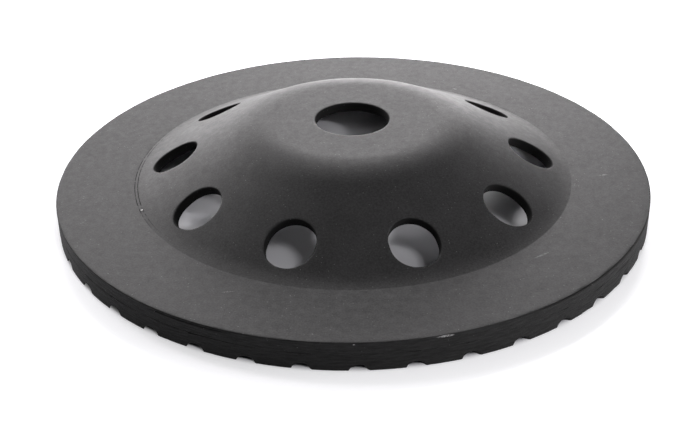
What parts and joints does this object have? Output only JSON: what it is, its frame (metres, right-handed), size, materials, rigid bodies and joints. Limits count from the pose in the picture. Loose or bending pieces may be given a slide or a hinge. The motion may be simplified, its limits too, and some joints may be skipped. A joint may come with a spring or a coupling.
{
  "type": "diamond disc",
  "caption": "Cup-shaped diamond grinding disc: domed steel body with a spindle bore and dust holes, flat flange and a grooved abrasive ring beneath.",
  "frame": {"origin": "on the disc's axis, in the plane of the ground face that it rests on", "axes": "+Z along the spindle axis, from the ground face up to the hub; +X through the centre of a dust hole"},
  "size_m": [0.18, 0.18, 0.0262],
  "materials": {
    "painted_steel": "matt black paint on pressed and turned steel",
    "sintered_bond": "rough sintered metal bond with fine grit, painted matt black"
  },
  "bodies": {
    "root": {"steel_body": "painted_steel", "diamond_rim": "sintered_bond"}
  },
  "joints": []
}
